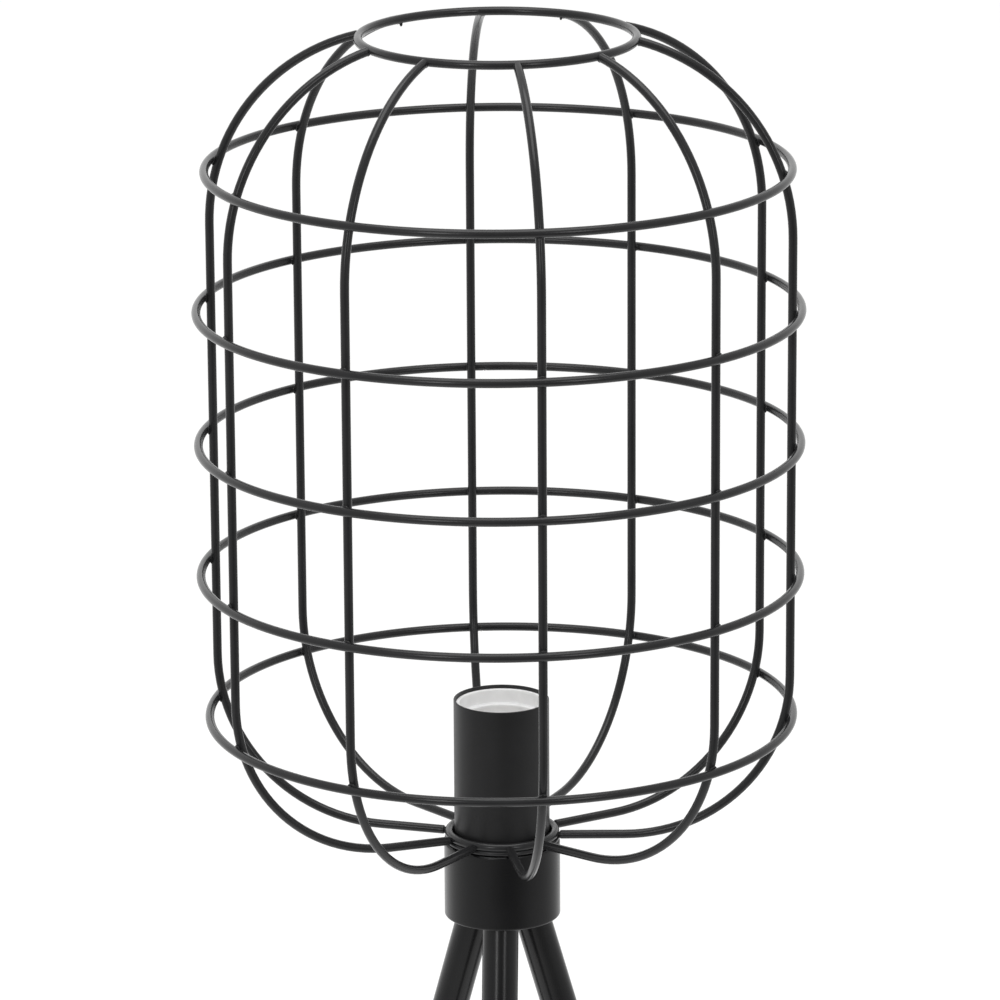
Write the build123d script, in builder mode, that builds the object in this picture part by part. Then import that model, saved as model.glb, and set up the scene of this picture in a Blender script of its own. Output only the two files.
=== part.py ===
from build123d import *
import math
import os

# Wire cage floor lamp: a cage of round wire around an upright lamp socket, on a
# collar with three splayed tube legs. Millimetres. The origin is on the lamp's
# upright axis at floor level, +Z is up, and one leg points straight along -Y.

# Overall
total_height = 1500.0
cage_diameter = 300.0          # over the outside of the three widest hoops
cage_height = 404.0            # inner ends of the rib feet to the middle of the top ring

# Cage wire, its bends and its rings. Radii are to the middle of the wire.
wire_diameter = 4.4
lower_ring_wire = 2.4          # thinner wire of the lower small ring
weld_bite = 0.3                # how far two wires melt into each other at a weld
rib_count = 10
rib_offsets = [0.0, 1.5, 2.5, -1.5, 0.0, -2.2, 1.0, 0.5, 0.0, -2.0]     # degrees off even spacing
front_angle = -90.0            # degrees from +X to the front leg
cage_turn = 11.5               # degrees that the first rib stands past the front leg
rib_foot_slope = 2.5           # degrees that a rib's foot falls towards the small rings
rib_lower_bend = 85.6
rib_upper_bend = 99.0
top_ring_radius = 67.3
foot_ring_gap = 0.5            # between the cup and the inside of the upper small ring
foot_ring_rise = 0.7           # middle of the upper small ring above the ribs' inner ends
hoop_heights = [339.8, 269.8, 202.8, 136.3, 63.8]   # above the ribs' inner ends

# Seat disc that the cage is clamped by
seat_disc_thickness = 1.8
ring_lift = 0.2                # the lower foot ring hangs clear of the collar

# Cup around the lamp socket
cup_diameter = 47.6
cup_rim_height = 70.0          # above the ribs' inner ends
cup_wall = 1.0
cup_floor = 1.2
cup_rim_rounding = 0.35
cup_base_rounding = 1.0

# Porcelain lampholder, depths counted down from its rim
holder_below_rim = 1.6
holder_clearance = 0.15
holder_height = 52.5
mouth_wall = 1.8
mouth_depth = 7.1
mouth_rounding = 0.54
ledge_rounding = 0.4
level_tolerance = 0.01         # for picking out the edges that lie at a level
throat_radius = 18.0
throat_depth = 13.0
well_radius = 9.0
floor_thickness = 5.0
underside_slot = (11.0, 37.0, 8.0)

# Threaded shell for the bulb
shell_bore_radius = 13.25
shell_wall = 0.45
shell_clearance = 0.2
shell_length = 19.0
shell_base = 0.5
shell_base_bore = 8.0
tag_width = 3.0
tag_place = 11.0               # from the axis to the tag that reaches the neutral terminal
tag_reach = 13.0

# Sprung centre contact
contact_below_shell = 0.2
contact_head = (4.5, 1.8)      # radius, thickness
contact_rounding = 0.81
contact_stem_radius = 2.0
contact_running_gap = 0.08
contact_stop = (3.4, 0.8)      # radius, thickness of the riveted end
stop_gap = 0.1
spring_radii = (3.6, 2.7)

# Terminals, bracket and its fasteners
terminal_block = (9.0, 6.0, 4.5)
terminal_screw = (3.0, 2.0, 1.6, 4.0)      # head radius, head height, shank radius, shank length
bracket_size = (40.0, 12.0, 2.0)
bracket_boss = (8.0, 4.0)                  # radius, height
bracket_screw_spacing = 29.0
bracket_screw = (3.2, 2.0, 1.7, 10.0)
screw_clearance = 0.1

# Threaded nipple with its nuts and toothed washers
nipple_radius = 4.95
nipple_bore_radius = 3.9
nipple_into_holder = 1.5
thread_gap = 0.05
hole_gap = 0.2
nut_across_flats = 14.0
nut_height = 3.0
washer_radius = 8.0
washer_thickness = 0.8
washer_teeth = 10
washer_notch = (2.4, 2.0)      # between two teeth: along the radius, across it
nipple_below_nut = 2.2

# Collar and the hub inside it
collar_past_rings = 0.3        # how far the collar's side stands out past the small rings
collar_height = 38.7
collar_wall = 1.5
collar_top_plate = 3.0
collar_step = 1.5              # how much thicker the wall is above the hub
collar_top_rounding = 0.6
collar_foot_chamfer = 0.4
hub_height = 16.0
hub_recess = 2.0
hub_gap = 0.1
hub_screw_circle = 21.0
hub_screw_angles = (-30.0, -150.0)         # between the front leg and the other two
hub_screw = (3.5, 3.2, 2.0)                # head radius, head height, shank radius
hub_screw_bite = 2.0                       # thread in the collar's top plate
earth_screw = (3.4, 2.2, 1.9)
earth_screw_place = 18.0
cable_place = 19.5             # from the axis, behind it, to the middle of the cable bush
cable_bore_radius = 3.5
bush_wall = 2.5
bush_flange = (6.5, 1.5)       # radius, thickness
bush_stand_in = 1.0            # how far the bush stands up inside the collar

# Legs, the studs in their tops and their rubber feet
leg_diameter = 18.0
leg_wall = 1.2
leg_slope = 0.3035             # outward run for each unit of drop
leg_radius_at_collar = 15.3    # middle of the tube, level with the collar's underside
seat_depth = 4.0               # of the middle of a leg's seat above the hub's underside
leg_pocket_gap = 0.15
stud_radius = 4.0
stud_length = 9.0
plug_length = 14.0
foot_wall = 2.0
foot_grip = 24.0
foot_sole = 5.0
foot_rounding = 1.0

# Levels worked out from the sizes above
wire_radius = wire_diameter / 2
lower_ring_half = lower_ring_wire / 2
foot_level = total_height - wire_radius - cage_height
upper_ring_level = foot_level + foot_ring_rise
ring_reach = wire_radius + lower_ring_half - weld_bite
ring_offset = wire_radius - lower_ring_half
ring_spacing = math.sqrt(ring_reach ** 2 - ring_offset ** 2)
lower_ring_level = upper_ring_level - ring_spacing
collar_top = lower_ring_level - lower_ring_half - ring_lift
collar_bottom = collar_top - collar_height
disc_top = collar_top + seat_disc_thickness
cup_rim = foot_level + cup_rim_height
holder_rim = cup_rim - holder_below_rim
holder_bottom = holder_rim - holder_height
slot_ceiling = holder_bottom + underside_slot[2]
holder_floor = slot_ceiling + floor_thickness
shell_top = holder_rim - throat_depth
shell_bottom = shell_top - shell_length
contact_top = shell_bottom - shell_base - contact_below_shell
hub_bottom = collar_bottom + hub_recess
hub_top = hub_bottom + hub_height
chamber_ceiling = collar_top - collar_top_plate

# Radii worked out from the sizes above
hoop_radius = cage_diameter / 2 - wire_radius
rib_radius = hoop_radius - wire_diameter + weld_bite
cup_radius = cup_diameter / 2
foot_ring_radius = cup_radius + foot_ring_gap + wire_radius
foot_ring_outside = foot_ring_radius + wire_radius
lower_ring_radius = foot_ring_outside - lower_ring_half
holder_radius = cup_radius - cup_wall - holder_clearance
shell_radius = shell_bore_radius + shell_wall
collar_radius = foot_ring_outside + collar_past_rings
hub_radius = collar_radius - collar_wall - hub_gap
leg_radius = leg_diameter / 2

# The rib's two bends, in its own plane: x away from the axis, y up from its foot
foot_slope = math.radians(rib_foot_slope)
foot_start = foot_ring_outside - weld_bite
foot_run = rib_radius - rib_lower_bend + rib_lower_bend * math.sin(foot_slope) - foot_start
foot_end = (foot_start + foot_run, foot_run * math.tan(foot_slope))
lower_centre = (rib_radius - rib_lower_bend, foot_end[1] + rib_lower_bend * math.cos(foot_slope))
upper_centre_x = rib_radius - rib_upper_bend
top_angle = math.degrees(math.acos((top_ring_radius - upper_centre_x) / rib_upper_bend))
upper_centre = (upper_centre_x, cage_height - rib_upper_bend * math.sin(math.radians(top_angle)))
end_short_angle = math.degrees((wire_radius - 2 * weld_bite) / rib_upper_bend)

os.makedirs("parts", exist_ok=True)


def keep(piece, name):
    """Names a finished piece and writes it out."""
    piece.part.label = name
    export_step(piece.part, f"parts/{name}.step")


def ring(radius, level, half_thickness=wire_radius):
    """A closed ring of round wire."""
    with BuildPart() as wire_ring:
        with BuildSketch(Plane.XZ):
            with Locations((radius, level)):
                Circle(half_thickness)
        revolve(axis=Axis.Z)
    return wire_ring


def hoop_radius_at(height):
    """Radius at which a hoop lies on the outside of the ribs at this height above their feet."""
    lift = wire_diameter - weld_bite
    if height < lower_centre[1]:
        drop = lower_centre[1] - height
        return lower_centre[0] + math.sqrt((rib_lower_bend + lift) ** 2 - drop ** 2)
    if height > upper_centre[1]:
        rise = height - upper_centre[1]
        return upper_centre[0] + math.sqrt((rib_upper_bend + lift) ** 2 - rise ** 2)
    return rib_radius + lift


# Ribs: a foot that rises from the small rings, a wide bend, an upright and a bend in to the top ring.
for number in range(rib_count):
    angle = math.radians(front_angle + cage_turn + number * 360 / rib_count + rib_offsets[number])
    outward = Vector(math.cos(angle), math.sin(angle), 0)
    rib_plane = Plane(
        origin=(0, 0, foot_level),
        x_dir=outward,
        z_dir=outward.cross(Vector(0, 0, 1)),
    )
    with BuildPart() as rib:
        with BuildLine(rib_plane) as rib_line:
            Line((foot_start, 0), foot_end)
            CenterArc(lower_centre, rib_lower_bend, rib_foot_slope - 90, 90 - rib_foot_slope)
            Line((rib_radius, lower_centre[1]), (rib_radius, upper_centre[1]))
            CenterArc(upper_centre, rib_upper_bend, 0, top_angle - end_short_angle)
        with BuildSketch(Plane(origin=rib_line.line @ 0, z_dir=rib_line.line % 0)):
            Circle(wire_radius)
        sweep()
    keep(rib, f"cage_rib_{number + 1:02d}")

# Hoops, welded to the outside of the ribs, counted from the top.
for number, height in enumerate(hoop_heights):
    keep(ring(hoop_radius_at(height), foot_level + height), f"cage_hoop_{number + 1}")

# The mouth ring at the top and the two small rings stacked at the ribs' feet.
keep(ring(top_ring_radius, foot_level + cage_height), "cage_top_ring")
keep(ring(foot_ring_radius, upper_ring_level), "cage_foot_ring_upper")
keep(ring(lower_ring_radius, lower_ring_level, lower_ring_half), "cage_foot_ring_lower")

# Seat disc: welded inside the lower foot ring and clamped on the collar by the nipple.
with BuildPart() as seat_disc:
    with BuildSketch(Plane.XY.offset(collar_top)):
        Circle(lower_ring_radius - lower_ring_half + weld_bite)
        Circle(nipple_radius + hole_gap, mode=Mode.SUBTRACT)
    extrude(amount=seat_disc_thickness)
keep(seat_disc, "cage_seat_disc")

# Cup: a drawn steel can around the lampholder, open at the top.
with BuildPart() as cup:
    with BuildSketch(Plane.XY.offset(disc_top)):
        Circle(cup_radius)
    extrude(amount=cup_rim - disc_top)
    with BuildSketch(Plane.XY.offset(disc_top + cup_floor)):
        Circle(cup_radius - cup_wall)
    extrude(amount=cup_rim - disc_top, mode=Mode.SUBTRACT)
    with BuildSketch(Plane.XY.offset(disc_top)):
        Circle(nipple_radius + hole_gap)
    extrude(amount=cup_floor, mode=Mode.SUBTRACT)
    fillet(cup.faces().sort_by(Axis.Z)[-1].edges(), cup_rim_rounding)
    fillet(cup.faces().sort_by(Axis.Z)[0].outer_wire().edges(), cup_base_rounding)
keep(cup, "lampholder_cup")

# Lampholder body: white glazed porcelain, stepped inside, with a slot underneath.
with BuildPart() as holder:
    with BuildSketch(Plane.XY.offset(holder_bottom)):
        Circle(holder_radius)
    extrude(amount=holder_height)
    fillet(holder.faces().sort_by(Axis.Z)[-1].edges(), mouth_rounding)
    with BuildSketch(Plane.XY.offset(holder_rim - mouth_depth)):
        Circle(holder_radius - mouth_wall)
    extrude(amount=mouth_depth, mode=Mode.SUBTRACT)
    with BuildSketch(Plane.XY.offset(shell_top)):
        Circle(throat_radius)
    extrude(amount=throat_depth, mode=Mode.SUBTRACT)
    with BuildSketch(Plane.XY.offset(shell_bottom - shell_base)):
        Circle(shell_radius + shell_clearance)
    extrude(amount=shell_length + shell_base, mode=Mode.SUBTRACT)
    with BuildSketch(Plane.XY.offset(holder_floor)):
        Circle(well_radius)
    extrude(amount=shell_bottom - holder_floor, mode=Mode.SUBTRACT)
    with BuildSketch(Plane.XY.offset(holder_bottom)):
        Rectangle(underside_slot[0], underside_slot[1])
        Circle(shell_base_bore)
    extrude(amount=underside_slot[2], mode=Mode.SUBTRACT)
    with BuildSketch(Plane.XY.offset(slot_ceiling)):
        Circle(contact_stem_radius + contact_running_gap)
    extrude(amount=floor_thickness, mode=Mode.SUBTRACT)
    with BuildSketch(Plane.XY.offset(slot_ceiling)):
        with Locations((0, -tag_place)):
            Rectangle(tag_width + 2 * shell_clearance, shell_base + 2 * shell_clearance)
    extrude(amount=shell_bottom - slot_ceiling, mode=Mode.SUBTRACT)
    with BuildSketch(Plane.XY.offset(holder_bottom)):
        with GridLocations(bracket_screw_spacing, 0, 2, 1):
            Circle(bracket_screw[2] + screw_clearance)
    extrude(amount=bracket_screw[3], mode=Mode.SUBTRACT)
    ledge_level = holder_rim - mouth_depth
    ledge_edges = holder.edges().filter_by_position(
        Axis.Z, ledge_level - level_tolerance, ledge_level + level_tolerance
    )
    fillet(ledge_edges.filter_by(GeomType.CIRCLE).sort_by(SortBy.RADIUS)[0], ledge_rounding)
keep(holder, "lampholder_body")

# Threaded shell: the nickel-plated screw shell, with a turned-in base and a tag through the floor.
with BuildPart() as shell:
    with BuildSketch(Plane.XY.offset(shell_bottom - shell_base)):
        Circle(shell_radius)
    extrude(amount=shell_length + shell_base)
    with BuildSketch(Plane.XY.offset(shell_bottom)):
        Circle(shell_bore_radius)
    extrude(amount=shell_length, mode=Mode.SUBTRACT)
    with BuildSketch(Plane.XY.offset(shell_bottom - shell_base)):
        Circle(shell_base_bore)
    extrude(amount=shell_base, mode=Mode.SUBTRACT)
    with BuildSketch(Plane.XY.offset(shell_bottom)):
        with Locations((0, -tag_place)):
            Rectangle(tag_width, shell_base)
    extrude(amount=-tag_reach)
keep(shell, "threaded_shell")

# Centre contact: a brass plunger held up by its spring and stopped by its riveted end.
head_bottom = contact_top - contact_head[1]
stop_top = slot_ceiling - stop_gap
with BuildPart() as contact:
    with BuildSketch(Plane.XY.offset(head_bottom)):
        Circle(contact_head[0])
    extrude(amount=contact_head[1])
    fillet(contact.faces().sort_by(Axis.Z)[-1].edges(), contact_rounding)
    with BuildSketch(Plane.XY.offset(stop_top)):
        Circle(contact_stem_radius)
    extrude(amount=head_bottom - stop_top)
    with BuildSketch(Plane.XY.offset(stop_top)):
        Circle(contact_stop[0])
    extrude(amount=-contact_stop[1])
keep(contact, "centre_contact")

# Contact spring between the porcelain floor and the contact's head, as the closed solid of its turns.
with BuildPart() as spring:
    with BuildSketch(Plane.XY.offset(holder_floor)):
        Circle(spring_radii[0])
        Circle(spring_radii[1], mode=Mode.SUBTRACT)
    extrude(amount=head_bottom - holder_floor)
keep(spring, "contact_spring")

# Terminals: a brass block for each pole against the slot's ceiling, with its clamp screw.
terminal_places = {
    "terminal_neutral": -(tag_place + shell_base / 2 + terminal_block[1] / 2),
    "terminal_live": tag_place + shell_base / 2 + terminal_block[1] / 2,
}
for name, place in terminal_places.items():
    with BuildPart() as terminal:
        with BuildSketch(Plane.XY.offset(slot_ceiling)):
            with Locations((0, place)):
                Rectangle(terminal_block[0], terminal_block[1])
                Circle(terminal_screw[2] + thread_gap, mode=Mode.SUBTRACT)
        extrude(amount=-terminal_block[2])
    keep(terminal, name)

screw_head_top = slot_ceiling - terminal_block[2]
with BuildPart() as terminal_screws:
    for place in terminal_places.values():
        with BuildSketch(Plane.XY.offset(screw_head_top)):
            with Locations((0, place)):
                Circle(terminal_screw[0])
        extrude(amount=-terminal_screw[1])
        with BuildSketch(Plane.XY.offset(screw_head_top)):
            with Locations((0, place)):
                Circle(terminal_screw[2])
        extrude(amount=terminal_screw[3])
keep(terminal_screws, "terminal_screws")

# Bracket: a steel strip with a tapped boss, screwed under the porcelain.
bracket_bottom = holder_bottom - bracket_size[2]
boss_bottom = bracket_bottom - bracket_boss[1]
with BuildPart() as bracket:
    with BuildSketch(Plane.XY.offset(bracket_bottom)):
        Rectangle(bracket_size[0], bracket_size[1])
        with GridLocations(bracket_screw_spacing, 0, 2, 1):
            Circle(bracket_screw[2] + screw_clearance, mode=Mode.SUBTRACT)
    extrude(amount=bracket_size[2])
    with BuildSketch(Plane.XY.offset(boss_bottom)):
        Circle(bracket_boss[0])
    extrude(amount=bracket_boss[1])
    with BuildSketch(Plane.XY.offset(boss_bottom)):
        Circle(nipple_radius + thread_gap)
    extrude(amount=bracket_boss[1] + bracket_size[2], mode=Mode.SUBTRACT)
keep(bracket, "lampholder_bracket")

with BuildPart() as bracket_screws:
    with BuildSketch(Plane.XY.offset(bracket_bottom)):
        with GridLocations(bracket_screw_spacing, 0, 2, 1):
            Circle(bracket_screw[0])
    extrude(amount=-bracket_screw[1])
    with BuildSketch(Plane.XY.offset(bracket_bottom)):
        with GridLocations(bracket_screw_spacing, 0, 2, 1):
            Circle(bracket_screw[2])
    extrude(amount=bracket_screw[3])
keep(bracket_screws, "bracket_screws")

# Nuts and toothed washers: in the cup, under the collar's top plate and under the bracket.
cup_washer_bottom = disc_top + cup_floor
cup_nut_bottom = cup_washer_bottom + washer_thickness
collar_washer_bottom = chamber_ceiling - washer_thickness
collar_nut_bottom = collar_washer_bottom - nut_height
bracket_nut_bottom = boss_bottom - nut_height
with BuildPart() as nuts:
    for level in (collar_nut_bottom, cup_nut_bottom, bracket_nut_bottom):
        with BuildSketch(Plane.XY.offset(level)):
            RegularPolygon(nut_across_flats / 2, 6, major_radius=False)
            Circle(nipple_radius + thread_gap, mode=Mode.SUBTRACT)
        extrude(amount=nut_height)
keep(nuts, "nipple_nuts")

with BuildPart() as washers:
    for level in (collar_washer_bottom, cup_washer_bottom):
        with BuildSketch(Plane.XY.offset(level)):
            Circle(washer_radius)
            Circle(nipple_radius + hole_gap, mode=Mode.SUBTRACT)
            with PolarLocations(washer_radius, washer_teeth):
                Rectangle(washer_notch[0], washer_notch[1], mode=Mode.SUBTRACT)
        extrude(amount=washer_thickness)
keep(washers, "toothed_washers")

# Nipple: a hollow threaded tube that clamps cup, cage and collar and lets the leads through.
nipple_bottom = collar_nut_bottom - nipple_below_nut
nipple_top = holder_bottom + nipple_into_holder
with BuildPart() as nipple:
    with BuildSketch(Plane.XY.offset(nipple_bottom)):
        Circle(nipple_radius)
        Circle(nipple_bore_radius, mode=Mode.SUBTRACT)
    extrude(amount=nipple_top - nipple_bottom)
keep(nipple, "threaded_nipple")

# Collar: a turned can, open underneath, with a step that the hub is drawn up against.
with BuildPart() as collar:
    with BuildSketch(Plane.XY.offset(collar_bottom)):
        Circle(collar_radius)
    extrude(amount=collar_height)
    with BuildSketch(Plane.XY.offset(collar_bottom)):
        Circle(collar_radius - collar_wall)
    extrude(amount=hub_top - collar_bottom, mode=Mode.SUBTRACT)
    with BuildSketch(Plane.XY.offset(hub_top)):
        Circle(collar_radius - collar_wall - collar_step)
    extrude(amount=chamber_ceiling - hub_top, mode=Mode.SUBTRACT)
    with BuildSketch(Plane.XY.offset(collar_top)):
        Circle(nipple_radius + hole_gap)
    extrude(amount=-collar_top_plate, mode=Mode.SUBTRACT)
    with BuildSketch(Plane.XY.offset(chamber_ceiling)):
        for angle in hub_screw_angles:
            with PolarLocations(hub_screw_circle, 1, start_angle=angle):
                Circle(hub_screw[2] + thread_gap)
        with Locations((0, -earth_screw_place)):
            Circle(earth_screw[2] + thread_gap)
    extrude(amount=hub_screw_bite, mode=Mode.SUBTRACT)
    fillet(collar.faces().sort_by(Axis.Z)[-1].outer_wire().edges(), collar_top_rounding)
    chamfer(collar.faces().sort_by(Axis.Z)[0].outer_wire().edges(), collar_foot_chamfer)
keep(collar, "collar")

# Each leg's own plane: at the middle of its seat in the hub, pointing down along the tube.
seat_level = hub_bottom + seat_depth
seat_radius = leg_radius_at_collar - leg_slope * (seat_level - collar_bottom)
leg_planes = {}
for name, turn in (("front", 0), ("right", 120), ("left", 240)):
    angle = front_angle + turn
    outward = Vector(math.cos(math.radians(angle)), math.sin(math.radians(angle)), 0)
    leg_planes[name] = Plane(
        origin=outward * seat_radius + Vector(0, 0, seat_level),
        x_dir=outward.cross(Vector(0, 0, 1)),
        z_dir=outward * leg_slope - Vector(0, 0, 1),
    )
slant = math.hypot(1, leg_slope)                     # tube length for each unit of height
leg_reach = seat_level * slant + leg_diameter        # enough to pass the floor before the cut

# Hub: a steel block in the collar that the legs screw into.
with BuildPart() as hub:
    with BuildSketch(Plane.XY.offset(hub_bottom)):
        Circle(hub_radius)
    extrude(amount=hub_height)
    for plane in leg_planes.values():
        with BuildSketch(plane):
            Circle(leg_radius + leg_pocket_gap)
        extrude(amount=leg_diameter, mode=Mode.SUBTRACT)
        with BuildSketch(plane):
            Circle(stud_radius + thread_gap)
        extrude(amount=-stud_length, mode=Mode.SUBTRACT)
    with BuildSketch(Plane.XY.offset(hub_bottom)):
        with Locations((0, cable_place)):
            Circle(cable_bore_radius + bush_wall + thread_gap)
        for angle in hub_screw_angles:
            with PolarLocations(hub_screw_circle, 1, start_angle=angle):
                Circle(hub_screw[2] + screw_clearance)
    extrude(amount=hub_height, mode=Mode.SUBTRACT)
    with BuildSketch(Plane.XY.offset(hub_bottom)):
        for angle in hub_screw_angles:
            with PolarLocations(hub_screw_circle, 1, start_angle=angle):
                Circle(hub_screw[0] + hole_gap)
    extrude(amount=hub_screw[1], mode=Mode.SUBTRACT)
keep(hub, "leg_hub")

# Hub screws: up through the hub into the collar's top plate.
hub_screw_seat = hub_bottom + hub_screw[1]
with BuildPart() as hub_screws:
    for angle in hub_screw_angles:
        with BuildSketch(Plane.XY.offset(hub_screw_seat)):
            with PolarLocations(hub_screw_circle, 1, start_angle=angle):
                Circle(hub_screw[0])
        extrude(amount=-hub_screw[1])
        with BuildSketch(Plane.XY.offset(hub_screw_seat)):
            with PolarLocations(hub_screw_circle, 1, start_angle=angle):
                Circle(hub_screw[2])
        extrude(amount=chamber_ceiling + hub_screw_bite - hub_screw_seat)
keep(hub_screws, "hub_screws")

# Earth screw inside the collar, head down.
with BuildPart() as earth:
    with BuildSketch(Plane.XY.offset(chamber_ceiling)):
        with Locations((0, -earth_screw_place)):
            Circle(earth_screw[0])
    extrude(amount=-earth_screw[1])
    with BuildSketch(Plane.XY.offset(chamber_ceiling)):
        with Locations((0, -earth_screw_place)):
            Circle(earth_screw[2])
    extrude(amount=hub_screw_bite)
keep(earth, "earth_screw")

# Cable bush: a nylon bush through the hub, behind the axis, with its flange underneath.
bush_bottom = hub_bottom - bush_flange[1]
with BuildPart() as bush:
    with BuildSketch(Plane.XY.offset(hub_bottom)):
        with Locations((0, cable_place)):
            Circle(cable_bore_radius + bush_wall)
    extrude(amount=hub_height + bush_stand_in)
    with BuildSketch(Plane.XY.offset(bush_bottom)):
        with Locations((0, cable_place)):
            Circle(bush_flange[0])
    extrude(amount=bush_flange[1])
    with BuildSketch(Plane.XY.offset(bush_bottom)):
        with Locations((0, cable_place)):
            Circle(cable_bore_radius)
    extrude(amount=bush_flange[1] + hub_height + bush_stand_in, mode=Mode.SUBTRACT)
keep(bush, "cable_bush")

# Legs: straight steel tubes, square at the top and cut level at the foot.
for name, plane in leg_planes.items():
    with BuildPart() as leg:
        with BuildSketch(plane):
            Circle(leg_radius)
            Circle(leg_radius - leg_wall, mode=Mode.SUBTRACT)
        extrude(amount=leg_reach)
        split(bisect_by=Plane.XY.offset(foot_sole), keep=Keep.TOP)
    keep(leg, f"leg_{name}")

# Leg studs: a plug welded in each tube's top, with the stud that screws into the hub.
with BuildPart() as studs:
    for plane in leg_planes.values():
        with BuildSketch(plane):
            Circle(leg_radius - leg_wall)
        extrude(amount=plug_length)
        with BuildSketch(plane):
            Circle(stud_radius)
        extrude(amount=-stud_length)
keep(studs, "leg_studs")

# Feet: rubber ferrules over the tube ends, with level soles.
foot_start = (seat_level - foot_sole) * slant - foot_grip
for name, plane in leg_planes.items():
    foot_plane = plane.offset(foot_start)
    with BuildPart() as foot_bore:
        with BuildSketch(foot_plane):
            Circle(leg_radius)
        extrude(amount=leg_reach)
        split(bisect_by=Plane.XY.offset(foot_sole), keep=Keep.TOP)
    with BuildPart() as foot:
        with BuildSketch(foot_plane):
            Circle(leg_radius + foot_wall)
        extrude(amount=leg_reach)
        split(bisect_by=Plane.XY, keep=Keep.TOP)
        fillet(foot.faces().sort_by(Axis.Z)[0].edges(), foot_rounding)
        fillet(foot.faces().sort_by(Axis.Z)[-1].outer_wire().edges(), foot_rounding)
        add(foot_bore.part, mode=Mode.SUBTRACT)
    keep(foot, f"foot_{name}")
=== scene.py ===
import math

import bpy
from mathutils import Euler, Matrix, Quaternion, Vector


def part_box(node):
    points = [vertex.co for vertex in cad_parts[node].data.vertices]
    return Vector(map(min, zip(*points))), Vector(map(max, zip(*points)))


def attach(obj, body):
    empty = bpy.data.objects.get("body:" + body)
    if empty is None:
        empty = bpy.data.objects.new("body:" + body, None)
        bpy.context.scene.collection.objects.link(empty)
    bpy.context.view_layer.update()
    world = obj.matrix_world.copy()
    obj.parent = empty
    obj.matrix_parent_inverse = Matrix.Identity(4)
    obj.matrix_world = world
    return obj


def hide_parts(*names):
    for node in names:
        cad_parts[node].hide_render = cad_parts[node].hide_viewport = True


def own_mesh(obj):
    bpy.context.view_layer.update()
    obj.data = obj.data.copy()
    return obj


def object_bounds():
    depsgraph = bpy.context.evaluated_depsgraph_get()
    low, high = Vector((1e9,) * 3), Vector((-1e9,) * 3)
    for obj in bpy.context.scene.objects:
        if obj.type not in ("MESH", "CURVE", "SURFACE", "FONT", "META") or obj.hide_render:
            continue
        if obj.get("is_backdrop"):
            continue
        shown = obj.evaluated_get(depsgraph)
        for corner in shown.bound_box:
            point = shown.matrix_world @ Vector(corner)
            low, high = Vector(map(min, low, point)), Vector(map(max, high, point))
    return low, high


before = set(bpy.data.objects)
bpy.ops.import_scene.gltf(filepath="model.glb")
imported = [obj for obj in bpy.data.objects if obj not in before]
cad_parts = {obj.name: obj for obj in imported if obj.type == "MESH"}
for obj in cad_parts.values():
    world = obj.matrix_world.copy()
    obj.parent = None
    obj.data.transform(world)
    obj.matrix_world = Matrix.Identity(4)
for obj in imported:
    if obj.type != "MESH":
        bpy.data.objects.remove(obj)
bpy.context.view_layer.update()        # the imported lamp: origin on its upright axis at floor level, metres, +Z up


# ---------------------------------------------------------------------------------------------
# Legs: three straight steel tubes, 18 mm across, cut square at the top, where a stud screws each
# into a slanting pocket of the hub, and level at the foot. Powder-coated satin black.
# ---------------------------------------------------------------------------------------------
MM = 0.001                            # a millimetre in metres


def linear(hex_colour):
    """An sRGB hex colour as the linear colour that Blender works in."""
    channels = [int(hex_colour[i:i + 2], 16) / 255 for i in (1, 3, 5)]
    return [c / 12.92 if c <= 0.04045 else ((c + 0.055) / 1.055) ** 2.4 for c in channels] + [1.0]


def add_node(tree, kind, settings=None, inputs=None):
    """Adds a node, sets its properties, and fills its sockets with values or with other sockets."""
    node = tree.nodes.new(kind)
    for name, value in (settings or {}).items():
        setattr(node, name, value)
    for name, value in (inputs or {}).items():
        if isinstance(value, bpy.types.NodeSocket):
            tree.links.new(value, node.inputs[name])
        else:
            node.inputs[name].default_value = value
    return node


def new_material(name):
    """An empty material, its node tree, and the place on the piece in the piece's own metres."""
    material = bpy.data.materials.new(name)
    material.use_nodes = True
    tree = material.node_tree
    tree.nodes.clear()
    return material, tree, add_node(tree, "ShaderNodeTexCoord").outputs["Object"]


def noise(tree, place, size, detail, roughness=0.5):
    """A noise mask whose features are this many millimetres across."""
    texture = add_node(tree, "ShaderNodeTexNoise", None,
                       {"Vector": place, "Scale": 1 / (size * MM), "Detail": detail,
                        "Roughness": roughness})
    return texture.outputs["Fac"]


def two_tone(tree, mask, first, second, low=0.0, high=1.0):
    """Blends from the first colour, where a mask is low, to the second, where it is high."""
    blend = add_node(tree, "ShaderNodeValToRGB", None, {"Fac": mask})
    for stop, position, colour in zip(blend.color_ramp.elements, (low, high), (first, second)):
        stop.position = position
        stop.color = linear(colour)
    return blend.outputs["Color"]


def gloss(tree, mask, smoothest, roughest):
    """A roughness that follows the middle values of a noise mask."""
    spread = add_node(tree, "ShaderNodeMapRange", None,
                      {"Value": mask, "From Min": 0.3, "From Max": 0.7,
                       "To Min": smoothest, "To Max": roughest})
    return spread.outputs["Result"]


def relief(tree, mask, strength, depth, below=None):
    """A bump this many millimetres deep, on top of another one where that is given."""
    inputs = {"Height": mask, "Strength": strength, "Distance": depth * MM}
    if below is not None:
        inputs["Normal"] = below
    return add_node(tree, "ShaderNodeBump", None, inputs).outputs["Normal"]


def surfaced(material, inputs):
    """Ends a material in one surface shader with these inputs."""
    tree = material.node_tree
    surface = add_node(tree, "ShaderNodeBsdfPrincipled", None, inputs)
    add_node(tree, "ShaderNodeOutputMaterial", None, {"Surface": surface.outputs["BSDF"]})
    return material


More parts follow.
